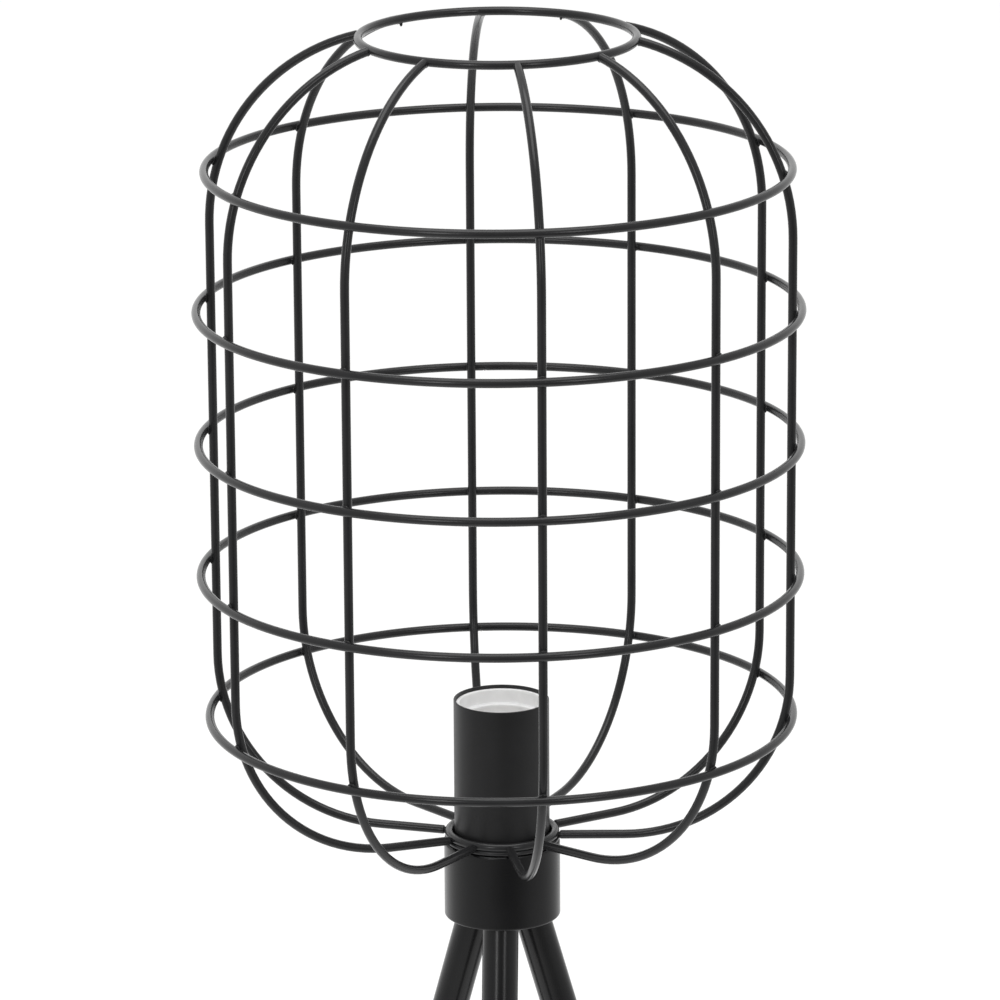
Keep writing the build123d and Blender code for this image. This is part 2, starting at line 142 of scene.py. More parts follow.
def powder_coated_steel(name, dark, light, smoothest, roughest):
    """Polyester powder coat, satin black: baked on, it flows into a faint orange peel about 1.5 mm
    across with a finer grain on top, so that reflections are soft and slightly broken."""
    material, tree, place = new_material(name)
    peel = noise(tree, place, size=1.5, detail=2.0)
    grain = noise(tree, place, size=0.35, detail=2.0, roughness=0.6)
    cloud = noise(tree, place, size=28, detail=3.0, roughness=0.55)
    peel_relief = relief(tree, peel, strength=0.20, depth=0.02)
    return surfaced(material, {
        "Base Color": two_tone(tree, cloud, dark, light, low=0.35, high=0.70),
        "Roughness": gloss(tree, grain, smoothest, roughest),
        "IOR": 1.5,
        "Normal": relief(tree, grain, strength=0.20, depth=0.006, below=peel_relief),
    })


def clear_selection():
    """Leaves edit mode and deselects everything."""
    if bpy.context.object and bpy.context.object.mode != "OBJECT":
        bpy.ops.object.mode_set(mode="OBJECT")
    bpy.ops.object.select_all(action="DESELECT")


def choose(*pieces):
    """Selects these pieces alone, with the first of them active."""
    clear_selection()
    for piece in pieces:
        piece.select_set(True)
    bpy.context.view_layer.objects.active = pieces[0]


def open_up(piece):
    """Opens a piece in edit mode with all of it selected."""
    choose(piece)
    bpy.ops.object.mode_set(mode="EDIT")
    bpy.ops.mesh.select_all(action="SELECT")


def start_ring(name, radius, centre, direction, vertices):
    """Adds a circle of edges around a centre, square to a direction, and opens it in edit mode."""
    clear_selection()
    turn = Vector(direction).to_track_quat("Z", "Y").to_euler()
    bpy.ops.mesh.primitive_circle_add(vertices=vertices, radius=radius, location=centre, rotation=turn)
    piece = bpy.context.object
    piece.name = name
    piece.data.name = name
    bpy.ops.object.transform_apply(location=True, rotation=True, scale=True)
    bpy.ops.object.mode_set(mode="EDIT")
    bpy.ops.mesh.select_mode(type="VERT")
    bpy.ops.mesh.select_all(action="SELECT")
    return piece


def close_up(piece):
    """Merges doubled points, points every face outwards, and goes back to object mode."""
    bpy.ops.mesh.select_all(action="SELECT")
    bpy.ops.mesh.remove_doubles(threshold=0.004 * MM)
    bpy.ops.mesh.normals_make_consistent(inside=False)
    bpy.ops.object.mode_set(mode="OBJECT")
    return piece


def turned(name, outline, base=(0, 0, 0), direction=(0, 0, 1), vertices=96, closed=True):
    """A turned piece: a ring drawn along an axis through an outline of (radius, distance) points.
    A closed outline ends on its first ring; an open one keeps its two ends open."""
    base, direction = Vector(base), Vector(direction).normalized()
    radius, distance = outline[0]
    piece = start_ring(name, radius, base + direction * distance, direction, vertices)
    stops = outline[1:] + (outline[:1] if closed else [])
    for new_radius, new_distance in stops:
        step = direction * (new_distance - distance)
        bpy.ops.mesh.extrude_region_move(TRANSFORM_OT_translate={"value": step})
        share = new_radius / radius
        bpy.ops.transform.resize(value=(share, share, share),
                                 center_override=base + direction * new_distance)
        radius, distance = new_radius, new_distance
    return close_up(piece)


def apply_modifiers(piece):
    """Applies each of the piece's modifiers, in order."""
    choose(piece)
    for modifier in list(piece.modifiers):
        bpy.ops.object.modifier_apply(modifier=modifier.name)


def finish_piece(piece, material, body, material_slot, *nodes, smooth=35):
    """Shades a piece, gives it its material, ties it to its body and hides the CAD nodes that it replaces. The
    material slot is not used.
    """
    choose(piece)
    bpy.ops.object.shade_smooth_by_angle(angle=math.radians(smooth))
    piece.data.materials.clear()
    piece.data.materials.append(material)
    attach(piece, body)
    if nodes:
        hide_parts(*nodes)


def turned_copy(piece, name, degrees):
    """A copy of a piece, with its own mesh, turned about the lamp's axis."""
    choose(piece)
    bpy.ops.object.duplicate(linked=False)
    copy = bpy.context.object
    copy.name = name
    copy.data.name = name
    copy.rotation_euler = (0, 0, math.radians(degrees))
    bpy.ops.object.transform_apply(location=False, rotation=True, scale=False)
    return copy


def finish_three(front, name, node, material, material_slot):
    """Copies the front leg's piece to the other two legs and finishes all three."""
    right = turned_copy(front, f"{name}_right", 120)
    left = turned_copy(front, f"{name}_left", 240)
    for piece, side in ((front, "front"), (right, "right"), (left, "left")):
        finish_piece(piece, material, "lamp", material_slot, f"{node}_{side}")


coat = powder_coated_steel("powder_coated_steel", "#0f0f10", "#151516", 0.20, 0.27)

collar_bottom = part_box("collar")[0].z
leg_slope = 0.3035
leg_tilt = math.atan(leg_slope)
leg_tube = 9.0 * MM
leg_wall = 1.2 * MM
leg_radius_at_collar = 15.3 * MM      # of the leg's middle, level with the collar's underside
seat_rise = 6 * MM                    # of the leg's seat above the collar's underside
seat_radius = leg_radius_at_collar - leg_slope * seat_rise
leg_start = Vector((0, -seat_radius, collar_bottom + seat_rise))
leg_down = Vector((0, -math.sin(leg_tilt), -math.cos(leg_tilt)))
sole = 5 * MM                         # rubber under the end of the tube
leg_length = (leg_start.z - sole) / math.cos(leg_tilt)

front_leg = turned("leg_tube_front", [(leg_tube, 0), (leg_tube, leg_length + 2 * leg_tube)],
                   leg_start, leg_down, vertices=48, closed=False)
open_up(front_leg)
bpy.ops.mesh.bisect(plane_co=(0, 0, sole), plane_no=(0, 0, 1), clear_inner=True)
bpy.ops.object.mode_set(mode="OBJECT")
tube_wall = front_leg.modifiers.new("wall", "SOLIDIFY")
tube_wall.thickness = leg_wall
tube_wall.offset = -1
tube_wall.use_even_offset = True
apply_modifiers(front_leg)
finish_three(front_leg, "leg_tube", "leg", coat, "black_powder_coat")


# ---------------------------------------------------------------------------------------------
# Feet: moulded rubber ferrules pushed over the tube ends, with three grip grooves and a level
# sole. The rubber is matt, slightly dusty black, with the mould's fine spark-eroded grain.
# ---------------------------------------------------------------------------------------------
def round_edges(piece, width, segments=3, angle=30):
    """Rounds every edge sharper than the angle and applies it."""
    bevel = piece.modifiers.new("rounded", "BEVEL")
    bevel.width = width
    bevel.segments = segments
    bevel.limit_method = "ANGLE"
    bevel.angle_limit = math.radians(angle)
    apply_modifiers(piece)


def cut_away(piece, cutter):
    """Takes the cutter's shape out of a piece and removes the cutter."""
    cut = piece.modifiers.new("cut", "BOOLEAN")
    cut.operation = "DIFFERENCE"
    cut.solver = "EXACT"
    cut.object = cutter
    apply_modifiers(piece)
    bpy.data.objects.remove(cutter)


def cut_level_and_filled(piece, level):
    """Cuts a slanting rod level at a height, keeps what is above, and closes both of its ends."""
    open_up(piece)
    bpy.ops.mesh.bisect(plane_co=(0, 0, level), plane_no=(0, 0, 1), use_fill=True, clear_inner=True)
    bpy.ops.mesh.select_all(action="SELECT")
    bpy.ops.mesh.fill_holes(sides=0)
    close_up(piece)


def moulded_rubber():
    """Black natural rubber from an eroded mould: no gloss, a fine grain and a grey bloom."""
    material, tree, place = new_material("moulded_rubber")
    grain = noise(tree, place, size=0.4, detail=3.0, roughness=0.65)
    bloom = noise(tree, place, size=9, detail=4.0, roughness=0.6)
    return surfaced(material, {
        "Base Color": two_tone(tree, bloom, "#151515", "#262625", low=0.40, high=0.75),
        "Roughness": 0.72,
        "IOR": 1.52,
        "Normal": relief(tree, grain, strength=0.6, depth=0.05),
    })


rubber = moulded_rubber()
foot_outer = 10.75 * MM
foot_lip = 9.9 * MM
foot_lip_run = 1.6 * MM
foot_grip = 24 * MM
groove_count = 3
groove_start = 5 * MM                 # of the first groove, below the ferrule's mouth
groove_pitch = 4.0 * MM
groove_depth = 0.7 * MM
groove_flank = 0.5 * MM
groove_width = 1.8 * MM

foot_mouth = leg_length - foot_grip
foot_outline = [(foot_lip, foot_mouth), (foot_outer, foot_mouth + foot_lip_run)]
for groove in range(groove_count):
    top = foot_mouth + groove_start + groove * groove_pitch
    foot_outline += [(foot_outer, top), (foot_outer - groove_depth, top + groove_flank),
                     (foot_outer - groove_depth, top + groove_width - groove_flank),
                     (foot_outer, top + groove_width)]
foot_outline.append((foot_outer, leg_length + 2 * foot_outer))
front_foot = turned("foot_ferrule_front", foot_outline, leg_start, leg_down, vertices=64, closed=False)
cut_level_and_filled(front_foot, 0)
bore_start = foot_mouth - 2 * MM      # clear of the ferrule's mouth
bore_outline = [(leg_tube, bore_start), (leg_tube, leg_length + 2 * leg_tube)]
bore_cutter = turned("bore_cutter", bore_outline, leg_start, leg_down, vertices=64, closed=False)
cut_level_and_filled(bore_cutter, sole)
cut_away(front_foot, bore_cutter)
round_edges(front_foot, 0.4 * MM, segments=2)
finish_three(front_foot, "foot_ferrule", "foot", rubber, "black_rubber")


# ---------------------------------------------------------------------------------------------
# Hub, leg studs, screws, nipple, nuts, washers and bracket: turned and pressed steel parts,
# bright zinc plated, inside the collar and under the lampholder. They keep their exact shapes.
# ---------------------------------------------------------------------------------------------
def zinc_plated_steel():
    """Bright zinc with a blue passivation: a pale metal with a cloudy blue and straw cast and the
    fine marks of turning."""
    material, tree, place = new_material("zinc_plated_steel")
    cast = noise(tree, place, size=6, detail=3.0)
    marks = noise(tree, place, size=0.5, detail=4.0, roughness=0.6)
    return surfaced(material, {
        "Base Color": two_tone(tree, cast, "#aeb4bf", "#c4c2b6", low=0.3, high=0.7),
        "Metallic": 1.0,
        "Roughness": gloss(tree, marks, smoothest=0.25, roughest=0.42),
        "Normal": relief(tree, marks, strength=0.3, depth=0.02),
    })


def moulded_nylon():
    """Black glass-filled nylon: a dull satin skin with short streaks from the fibres in it."""
    material, tree, place = new_material("moulded_nylon")
    streaks = noise(tree, place, size=1.2, detail=5.0, roughness=0.7)
    return surfaced(material, {
        "Base Color": two_tone(tree, streaks, "#141415", "#242425"),
        "Roughness": 0.5,
        "IOR": 1.53,
        "Normal": relief(tree, streaks, strength=0.4, depth=0.02),
    })


def coat_nodes(material, *names):
    """Gives CAD nodes that keep their exact shapes their material."""
    for name in names:
        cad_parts[name].data.materials.clear()
        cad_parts[name].data.materials.append(material)


zinc = zinc_plated_steel()
coat_nodes(zinc, "leg_hub", "leg_studs", "hub_screws", "earth_screw", "threaded_nipple", "nipple_nuts",
           "toothed_washers", "lampholder_bracket", "bracket_screws", "terminal_screws")
coat_nodes(moulded_nylon(), "cable_bush")


# ---------------------------------------------------------------------------------------------
# Collar: a turned steel can that hides the hub, open underneath, coated a deep satin black. Both
# outer edges are rounded, and the lower one shows as a thin light line.
# ---------------------------------------------------------------------------------------------
collar_coat = powder_coated_steel("powder_coated_collar", "#0e0e0f", "#141415", 0.20, 0.27)
collar_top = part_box("collar")[1].z
collar_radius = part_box("collar")[1].x
hub_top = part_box("leg_hub")[1].z
collar_wall = 1.5 * MM
collar_step = 1.5 * MM
top_plate = 3 * MM
nipple_hole = 5.15 * MM
collar_round = 0.9 * MM               # rounding of the upper outer edge,
collar_round_middle = 0.26 * MM       # with its middle point this far inside both faces
rim_round = 0.7 * MM                  # rounding of the lower outer edge
rim_round_middle = 0.2 * MM
rim_loop = 1.5 * MM                   # a loop this close to the rim keeps the wall's shading flat
collar = turned("collar_can", [
    (nipple_hole, collar_top),
    (collar_radius - collar_round, collar_top),
    (collar_radius - collar_round_middle, collar_top - collar_round_middle),
    (collar_radius, collar_top - collar_round),
    (collar_radius, collar_top - 2 * collar_round),
    (collar_radius, collar_bottom + rim_loop),
    (collar_radius, collar_bottom + rim_round),
    (collar_radius - rim_round_middle, collar_bottom + rim_round_middle),
    (collar_radius - rim_round, collar_bottom),
    (collar_radius - collar_wall, collar_bottom),
    (collar_radius - collar_wall, hub_top),
    (collar_radius - collar_wall - collar_step, hub_top),
    (collar_radius - collar_wall - collar_step, collar_top - top_plate),
    (nipple_hole, collar_top - top_plate),
], vertices=160)
round_edges(collar, 0.4 * MM)
finish_piece(collar, collar_coat, "lamp", "black_powder_coat", "collar")


# ---------------------------------------------------------------------------------------------
# Cup: a deep-drawn steel can, 47.6 mm across with a 1 mm wall, standing in the cage's foot rings
# and clamped by the nipple. Coated inside and out, a little duller than the legs.
# ---------------------------------------------------------------------------------------------
cup_coat = powder_coated_steel("powder_coated_cup", "#181819", "#1e1e1f", 0.36, 0.44)
cup_low, cup_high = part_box("lampholder_cup")
cup_radius = cup_high.x
cup_wall = 1.0 * MM
cup_floor = 1.2 * MM
cup_round = 1.0 * MM                  # rounding of the lower outer edge
cup_round_middle = 0.3 * MM
edge_loop = 1.2 * MM                  # a loop this close to an edge keeps the wall's shading flat
cup = turned("socket_cup", [
    (nipple_hole, cup_low.z),
    (cup_radius - cup_round, cup_low.z),
    (cup_radius - cup_round_middle, cup_low.z + cup_round_middle),
    (cup_radius, cup_low.z + cup_round),
    (cup_radius, cup_low.z + 2 * cup_round),
    (cup_radius, cup_high.z - edge_loop),
    (cup_radius, cup_high.z),
    (cup_radius - cup_wall, cup_high.z),
    (cup_radius - cup_wall, cup_high.z - edge_loop),
    (cup_radius - cup_wall, cup_low.z + cup_floor + edge_loop),
    (cup_radius - cup_wall, cup_low.z + cup_floor),
    (nipple_hole, cup_low.z + cup_floor),
], vertices=128)
round_edges(cup, 0.35 * MM, angle=50)
finish_piece(cup, cup_coat, "lamp", "black_powder_coat", "lampholder_cup")


# ---------------------------------------------------------------------------------------------
# Lampholder: pressed white porcelain, glazed outside and in the mouth. Inside its thin wall are a
# narrow ledge 7 mm down, a throat, the bore of the screw shell, and a slot across the underside.
# ---------------------------------------------------------------------------------------------
def glazed_porcelain():
    """Electrical porcelain with a clear glaze: a warm white body under glass that has pooled into
    soft waves, with a rare iron speck."""
    material, tree, place = new_material("glazed_porcelain")
    waves = noise(tree, place, size=5, detail=2.0, roughness=0.4)
    specks = noise(tree, place, size=0.8, detail=1.0)
    speck_share = add_node(tree, "ShaderNodeMapRange", None,
                           {"Value": specks, "From Min": 0.80, "From Max": 0.84})
    colour = add_node(tree, "ShaderNodeMix", {"data_type": "RGBA"},
                      {"Factor": speck_share.outputs["Result"],
                       "A": two_tone(tree, waves, "#efefef", "#f4f4f4", low=0.3, high=0.7),
                       "B": linear("#a89f92")})
    return surfaced(material, {
        "Base Color": colour.outputs["Result"],
        "Roughness": 0.22,
        "IOR": 1.52,
        "Normal": relief(tree, waves, strength=0.2, depth=0.05),
    })


def block(name, centre, sizes):
    """A rectangular block around a centre."""
    clear_selection()
    bpy.ops.mesh.primitive_cube_add(size=1, location=centre)
    piece = bpy.context.object
    piece.name = name
    piece.scale = sizes
    bpy.ops.object.transform_apply(location=True, rotation=True, scale=True)
    return piece


porcelain = glazed_porcelain()
holder_low, holder_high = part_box("lampholder_body")
holder_radius = holder_high.x
mouth_radius = holder_radius - 1.8 * MM
ledge = holder_high.z - 7.1 * MM
throat_radius = 18.0 * MM
shell_rim = holder_high.z - 13.0 * MM
bore_radius = 13.9 * MM
shell_seat = shell_rim - 19.5 * MM
well_radius = 9 * MM
base_hole = well_radius - 1 * MM      # in the shell's base, and up into the porcelain's underside
holder_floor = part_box("contact_spring")[0].z
slot_ceiling = holder_low.z + 8 * MM
stem_hole = 2.08 * MM
holder = turned("porcelain_lampholder", [
    (stem_hole, slot_ceiling),
    (base_hole, slot_ceiling),
    (base_hole, holder_low.z),
    (holder_radius, holder_low.z),
    (holder_radius, holder_low.z + edge_loop),
    (holder_radius, holder_high.z - edge_loop),
    (holder_radius, holder_high.z),
    (mouth_radius, holder_high.z),
    (mouth_radius, holder_high.z - edge_loop),
    (mouth_radius, ledge + edge_loop),
    (mouth_radius, ledge),
    (throat_radius, ledge),
    (throat_radius, ledge - edge_loop),
    (throat_radius, shell_rim + edge_loop),
    (throat_radius, shell_rim),
    (bore_radius, shell_rim),
    (bore_radius, shell_seat),
    (well_radius, shell_seat),
    (well_radius, holder_floor),
    (stem_hole, holder_floor),
], vertices=128)
round_edges(holder, 0.45 * MM)

slot_sizes = Vector((11, 37, 9)) * MM  # its height reaches a millimetre below the porcelain
slot_cutter = block("slot_cutter", (0, 0, slot_ceiling - slot_sizes.z / 2), slot_sizes)
cut_away(holder, slot_cutter)
finish_piece(holder, porcelain, "lamp", "white_porcelain", "lampholder_body")


# ---------------------------------------------------------------------------------------------
# Screw shell, centre contact, spring and terminals: the shell is rolled from thin brass with the round lamp thread
# in it. The shell, contact and terminals are nickel plated, and the spring is zinc plated. The contact rides on a
# small coil spring.
# ---------------------------------------------------------------------------------------------
def nickel_plated_brass():
    """Rolled brass under dull nickel: a warm pale metal with drawing lines along its length."""
    material, tree, place = new_material("nickel_plated_brass")
    stretched = add_node(tree, "ShaderNodeMapping", None, {"Vector": place, "Scale": (1.0, 1.0, 0.08)})
    lines = noise(tree, stretched.outputs["Vector"], size=0.6, detail=3.0)
    return surfaced(material, {
        "Base Color": two_tone(tree, lines, "#b9ac90", "#d2cbba", low=0.3, high=0.7),
        "Metallic": 1.0,
        "Roughness": gloss(tree, lines, smoothest=0.20, roughest=0.34),
        "Normal": relief(tree, lines, strength=0.2, depth=0.01),
    })


def join(*pieces):
    """Joins pieces into the first of them."""
    choose(*pieces)
    bpy.ops.object.join()


nickel = nickel_plated_brass()
thread_pitch = 3.629 * MM
thread_depth = 1.05 * MM
shell_bore = 13.25 * MM
shell_sheet = 0.4 * MM
shell_length = 19 * MM
shell_base = 0.5 * MM
thread_rings = 76
shell_low = shell_rim - shell_length
shell_outline = [(shell_bore, shell_low + shell_length * ring / thread_rings)
                 for ring in range(thread_rings + 1)]
screw_shell = turned("screw_shell", shell_outline, vertices=96, closed=False)
plain_end = 1.5 * MM                  # smooth lip at each end of the rolled thread
for point in screw_shell.data.vertices:
    angle = math.atan2(point.co.y, point.co.x)
    rise = point.co.z - shell_low
    fade = min(1, rise / plain_end, (shell_length - rise) / plain_end)
    roll = 0.5 - 0.5 * math.cos(2 * math.pi * rise / thread_pitch - angle)
    share = 1 - thread_depth * roll * max(0, fade) / shell_bore
    point.co.x *= share
    point.co.y *= share
open_up(screw_shell)
bpy.ops.mesh.normals_make_consistent(inside=False)
bpy.ops.object.mode_set(mode="OBJECT")
sheet = screw_shell.modifiers.new("sheet", "SOLIDIFY")
sheet.thickness = shell_sheet
sheet.offset = 1
apply_modifiers(screw_shell)
shell_foot = turned("screw_shell_base", [
    (base_hole, shell_low - shell_base),
    (shell_bore + shell_sheet, shell_low - shell_base),
    (shell_bore + shell_sheet, shell_low),
    (base_hole, shell_low),
], vertices=96)
round_edges(shell_foot, 0.1 * MM, segments=2)
tag_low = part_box("threaded_shell")[0].z
tag_width = 3 * MM
tag_sheet = 0.5 * MM
tag_radius = 11 * MM
tag_centre = (0, -tag_radius, (tag_low + shell_low) / 2)
shell_tag = block("screw_shell_tag", tag_centre, (tag_width, tag_sheet, shell_low - tag_low))
round_edges(shell_tag, 0.12 * MM, segments=2)
join(screw_shell, shell_foot, shell_tag)
finish_piece(screw_shell, nickel, "lamp", "nickel_plated_brass", "threaded_shell", smooth=50)

contact_low, contact_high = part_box("centre_contact")
contact_radius = 4.5 * MM
contact_head = 1.8 * MM
stem_radius = 2.0 * MM
stop_radius = 3.4 * MM                # of the stop under the porcelain, which keeps the contact in
stop_height = 0.8 * MM
middle = 0.02 * MM                    # radius of the hole left in each end face, filled below
contact_sides = 64
contact = turned("contact_plunger", [
    (middle, contact_high.z),
    (2.2 * MM, contact_high.z - 0.12 * MM),
    (3.8 * MM, contact_high.z - 0.55 * MM),
    (contact_radius, contact_high.z - 1.15 * MM),
    (contact_radius, contact_high.z - contact_head),
    (stem_radius, contact_high.z - contact_head),
    (stem_radius, contact_low.z + stop_height),
    (stop_radius, contact_low.z + stop_height),
    (3.2 * MM, contact_low.z + 0.2 * MM),
    (2.4 * MM, contact_low.z),
    (middle, contact_low.z),
], vertices=contact_sides, closed=False)
open_up(contact)
bpy.ops.mesh.fill_holes(sides=contact_sides)
close_up(contact)
finish_piece(contact, nickel, "contact", "nickel_plated_brass", "centre_contact", smooth=30)

spring_low, spring_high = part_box("contact_spring")
spring_wire = 0.4 * MM
spring_turns = 4
spring_radius = spring_high.x - spring_wire
spring_sides = 10
spring_steps = 40                     # to each turn
coil_start = (spring_radius, 0, spring_low.z + spring_wire)
coil = start_ring("contact_coil", spring_wire, coil_start, (0, 1, 0), spring_sides)
bpy.ops.object.mode_set(mode="OBJECT")
winding = coil.modifiers.new("winding", "SCREW")
winding.angle = 2 * math.pi
winding.screw_offset = (spring_high.z - spring_low.z - 2 * spring_wire) / spring_turns
winding.iterations = spring_turns
winding.steps = spring_steps
winding.render_steps = spring_steps
apply_modifiers(coil)
open_up(coil)
bpy.ops.mesh.fill_holes(sides=spring_sides + 2)
close_up(coil)
finish_piece(coil, zinc, "lamp", "zinc_plated_steel", "contact_spring", smooth=60)
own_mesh(coil)
coat_nodes(nickel, "terminal_neutral", "terminal_live")


# ---------------------------------------------------------------------------------------------
# Cage ribs: ten lengths of 4 mm rod, each bent twice on a former. The foot falls a little towards
# the stacked foot rings that it is butted to, and the upper end is butted to the top ring.
# ---------------------------------------------------------------------------------------------
wire_coat = powder_coated_steel("powder_coated_wire", "#202021", "#272728", 0.18, 0.25)
wire = 2.2 * MM
wire_sides = 20
rib_count = 10
cage_turn = 11.5                      # degrees that the first rib stands away from the front leg
cage_height = 404.0 * MM              # from the ribs' feet to the middle of the top ring
bend_steps = 28
weld_bite = 0.3 * MM
rib_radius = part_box("cage_hoop_3")[1].x - 3 * wire + weld_bite
foot_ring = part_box("cage_foot_ring_upper")[1].x - wire
top_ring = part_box("cage_top_ring")[1].x - wire
top_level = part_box("cage_top_ring")[1].z - wire
foot_level = top_level - cage_height
foot_slope = math.radians(2.5)
lower_bend = 85.6 * MM
upper_bend = 99.0 * MM
foot_gap = 0.5 * MM                   # the foot stops just short of the rings
rib_start = foot_ring + wire + foot_gap
sheared_edge = 0.4 * MM
foot_run = rib_radius - lower_bend + lower_bend * math.sin(foot_slope) - rib_start
foot_rise = foot_run * math.tan(foot_slope)
lower_centre = Vector((rib_radius - lower_bend, 0,
                       foot_level + foot_rise + lower_bend * math.cos(foot_slope)))
top_angle = math.acos((top_ring - (rib_radius - upper_bend)) / upper_bend)
upper_centre = Vector((rib_radius - upper_bend, 0, top_level - upper_bend * math.sin(top_angle)))
end_short = (wire - 2 * weld_bite) / upper_bend

foot_direction = Vector((foot_run, 0, foot_rise)).normalized()
foot_start = Vector((rib_start, 0, foot_level))
full_section = foot_start + foot_direction * sheared_edge
foot_end = Vector((rib_start + foot_run, 0, foot_level + foot_rise))
upright = Vector((0, 0, upper_centre.z - lower_centre.z))
swell = wire / (wire - sheared_edge)
rib = start_ring("rib_rod", wire - sheared_edge, foot_start, foot_direction, wire_sides)
bpy.ops.mesh.extrude_region_move(TRANSFORM_OT_translate={"value": full_section - foot_start})
bpy.ops.transform.resize(value=(swell, swell, swell), center_override=full_section)
bpy.ops.mesh.extrude_region_move(TRANSFORM_OT_translate={"value": foot_end - full_section})
bpy.ops.mesh.spin(steps=bend_steps, angle=math.pi / 2 - foot_slope, center=lower_centre, axis=(0, 1, 0))
bpy.ops.mesh.extrude_region_move(TRANSFORM_OT_translate={"value": upright})
bpy.ops.mesh.spin(steps=bend_steps, angle=top_angle - end_short, center=upper_centre, axis=(0, 1, 0))
bpy.ops.mesh.select_all(action="SELECT")
bpy.ops.mesh.fill_holes(sides=wire_sides + 2)
close_up(rib)
rib_offsets = (0.0, 1.5, 2.5, -1.5, 0.0, -2.2, 1.0, 0.5, 0.0, -2.0)     # degrees off even spacing
rib_angles = [-90 + cage_turn + n * 360 / rib_count + rib_offsets[n] for n in range(rib_count)]
ribs = [turned_copy(rib, f"rib_rod_{n + 1:02d}", rib_angles[n]) for n in range(rib_count)]
bpy.data.objects.remove(rib)
for n, rod in enumerate(ribs):
    finish_piece(rod, wire_coat, "lamp", "black_powder_coat", f"cage_rib_{n + 1:02d}")


# ---------------------------------------------------------------------------------------------
# Hoops and rings: rod rolled to a circle and butt-welded, which leaves a low bead between two
# fine grooves at the join. The hoops are then resistance-welded to the outside of the ribs.
# ---------------------------------------------------------------------------------------------
def rolled_ring(name, node, seam_degrees):
    """A ring of rod at its CAD node's place, with the bead of its butt weld at the given angle."""
    low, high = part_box(node)
    level = (low.z + high.z) / 2
    half = (high.z - low.z) / 2
    radius = high.x - half
    angle = math.radians(seam_degrees)
    outward = Vector((math.cos(angle), math.sin(angle), 0))
    along = Vector((-math.sin(angle), math.cos(angle), 0))
    turn = seam_step / radius
    axis_point = Vector((0, 0, level))
    ring = start_ring(name, half, axis_point + outward * radius, along, wire_sides)
    thickness = 1
    for new_thickness in seam_profile:
        bpy.ops.mesh.spin(steps=1, angle=turn, center=axis_point, axis=(0, 0, -1))
        angle += turn
        crest = axis_point + Vector((math.cos(angle) * radius, math.sin(angle) * radius, half))
        share = new_thickness / thickness
        bpy.ops.transform.resize(value=(share, share, share), center_override=crest)
        thickness = new_thickness
    rest_of_turn = 2 * math.pi - len(seam_profile) * turn
    rest_steps = max(fewest_steps, int(radius / radius_per_step))
    bpy.ops.mesh.spin(steps=rest_steps, angle=rest_of_turn, center=axis_point, axis=(0, 0, -1))
    return close_up(ring)


seam_step = 0.45 * MM                 # from one section of the seam to the next
seam_profile = (0.95, 1.08, 0.95, 1)  # groove, bead, groove and plain rod, in rod thicknesses
fewest_steps = 96                     # round a small ring
radius_per_step = 0.5 * MM            # a larger ring has a step for each of these in its radius
seams = {
    "cage_hoop_1": ("hoop_rod_1", 171),
    "cage_hoop_2": ("hoop_rod_2", 99.3),
    "cage_hoop_3": ("hoop_rod_3", 96.1),
    "cage_hoop_4": ("hoop_rod_4", 99.3),
    "cage_hoop_5": ("hoop_rod_5", 97.3),
    "cage_top_ring": ("mouth_ring_rod", 101),
    "cage_foot_ring_upper": ("foot_ring_rod_upper", 75),
    "cage_foot_ring_lower": ("foot_ring_rod_lower", 110),
}
for node, (name, seam) in seams.items():
    finish_piece(rolled_ring(name, node, seam), wire_coat, "lamp", "black_powder_coat", node)
coat_nodes(wire_coat, "cage_seat_disc")


# ---------------------------------------------------------------------------------------------
# Welds: where a hoop crosses a rib the rods are squeezed together hot, and a small skirt of metal
# fills the corners. A short bead is run round each rib's two ends, and two of the upper ones have
# dripped. All of it is under the coat.
# ---------------------------------------------------------------------------------------------
def weld_nugget(name, centre, sizes, turn_degrees, lean_degrees=0.0):
    """A flattened drop of weld metal: radial, sideways and upward half sizes, turned about the
    lamp's axis and leaned towards it."""
    clear_selection()
    turn = (0, math.radians(lean_degrees), math.radians(turn_degrees))
    bpy.ops.mesh.primitive_uv_sphere_add(segments=14, ring_count=8, radius=1, location=centre,
                                         rotation=turn)
    nugget = bpy.context.object
    nugget.name = name
    nugget.scale = sizes
    bpy.ops.object.transform_apply(location=True, rotation=True, scale=True)
    open_up(nugget)
    bpy.ops.transform.vertex_random(offset=unevenness, seed=int(abs(turn_degrees)) + 3)
    bpy.ops.object.mode_set(mode="OBJECT")
    return nugget


def weld_row(name, radius, level, sizes, lean_degrees=0.0):
    """One nugget at each rib, at this radius and level, as one piece."""
    nuggets = []
    for n, degrees in enumerate(rib_angles):
        angle = math.radians(degrees)
        centre = (radius * math.cos(angle), radius * math.sin(angle), level)
        nuggets.append(weld_nugget(f"{name}_{n}", centre, sizes, degrees, lean_degrees))
    join(*nuggets)
    row = bpy.context.object
    row.name = name
    row.data.name = name
    return row


